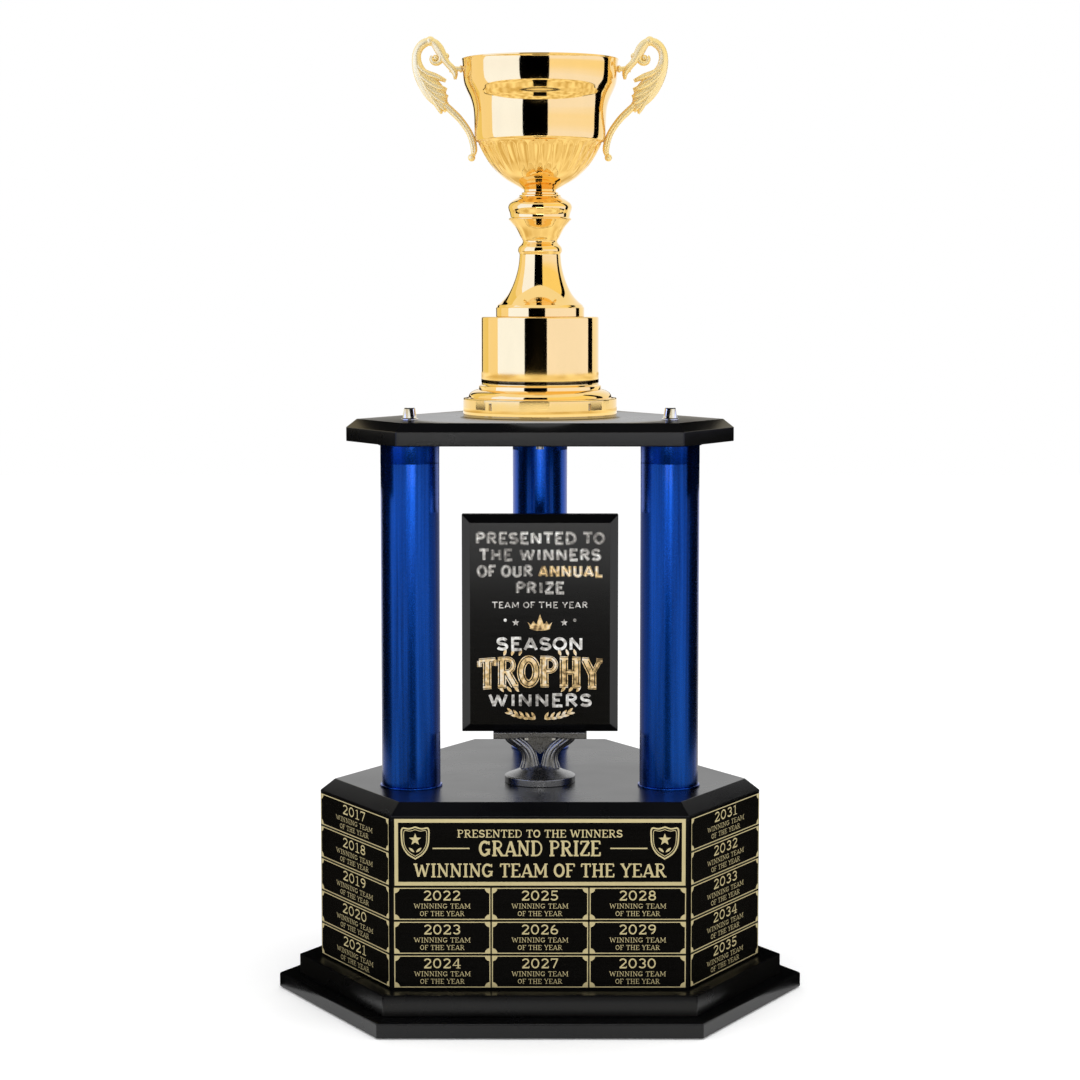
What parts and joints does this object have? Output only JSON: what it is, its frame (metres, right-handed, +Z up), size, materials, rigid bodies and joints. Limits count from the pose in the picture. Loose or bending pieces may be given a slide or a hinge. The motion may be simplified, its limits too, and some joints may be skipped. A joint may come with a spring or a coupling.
{
  "type": "column trophy",
  "caption": "Column trophy: a six-sided box with engraved plates on two plinths, blue tubes carrying a platform, a gilt two-handled cup on top and a plaque on a stand between the tubes.",
  "frame": {"origin": "on the trophy's axis, at the underside of the felt it stands on", "axes": "+Z up along the axis, the front with the plaque faces -Y, +X to the viewer's right"},
  "size_m": [0.4334, 0.3752, 0.7835],
  "materials": {
    "felt": "matte felt",
    "black_lacquer": "satin black lacquer",
    "pine": "bare wood",
    "plaque_lacquer": "satin black lacquer",
    "plaque_plate": "gloss black with gilt and silver design",
    "engraved_plate": "gloss black, engraved to pale gold",
    "blue_foil": "metallic blue foil",
    "tube_cap": "polished",
    "polished_nut": "polished",
    "gilt": "polished gold plate",
    "gunmetal": "graphite metallic",
    "zinc_steel": "zinc plated"
  },
  "bodies": {
    "base": {"back_cap_nut": "polished_nut", "back_column": "blue_foil", "back_left_panel": "black_lacquer", "back_lower_cap": "tube_cap", "back_panel": "black_lacquer", "back_right_panel": "black_lacquer", "bottom_plinth": "black_lacquer", "box_lid": "black_lacquer", "corner_blocks": "pine", "felt_pad": "felt", "front_panel": "black_lacquer", "front_plate_1": "engraved_plate", "front_plate_2": "engraved_plate", "front_plate_3": "engraved_plate", "front_plate_4": "engraved_plate", "front_plate_5": "engraved_plate", "front_plate_6": "engraved_plate", "front_plate_7": "engraved_plate", "front_plate_8": "engraved_plate", "front_plate_9": "engraved_plate", "header_plate": "engraved_plate", "left_cap_nut": "polished_nut", "left_column": "blue_foil", "left_lower_cap": "tube_cap", "left_panel": "black_lacquer", "left_plate_1": "engraved_plate", "left_plate_2": "engraved_plate", "left_plate_3": "engraved_plate", "left_plate_4": "engraved_plate", "left_plate_5": "engraved_plate", "middle_plinth": "black_lacquer", "platform": "black_lacquer", "plinth_screws": "zinc_steel", "right_cap_nut": "polished_nut", "right_column": "blue_foil", "right_lower_cap": "tube_cap", "right_panel": "black_lacquer", "right_plate_1": "engraved_plate", "right_plate_2": "engraved_plate", "right_plate_3": "engraved_plate", "right_plate_4": "engraved_plate", "right_plate_5": "engraved_plate", "rod_nuts": "zinc_steel", "tie_rods": "zinc_steel", "upper_caps": "tube_cap"},
    "cup": {"cup_riser": "gilt", "cup_stem": "gilt", "cup_knob": "gilt", "cup_bowl": "gilt", "left_handle": "gilt", "right_handle": "gilt", "handle_screws": "zinc_steel", "cup_rod": "zinc_steel", "cup_upper_nut": "zinc_steel", "cup_lower_nut": "zinc_steel"},
    "plaque": {"plaque_board": "plaque_lacquer", "plaque_plate": "plaque_plate", "plaque_stand": "gunmetal", "cradle_screws": "zinc_steel", "stand_screw": "zinc_steel"}
  },
  "joints": [
    {"name": "cup_swivel", "type": "hinge", "parent": "base", "child": "cup", "pos_m": [0, 0, 0.4743], "axis": [0, 0, 1], "continuous": true},
    {"name": "plaque_swivel", "type": "hinge", "parent": "base", "child": "plaque", "pos_m": [0, -0.0425, 0.1778], "axis": [0, 0, 1], "continuous": true}
  ]
}
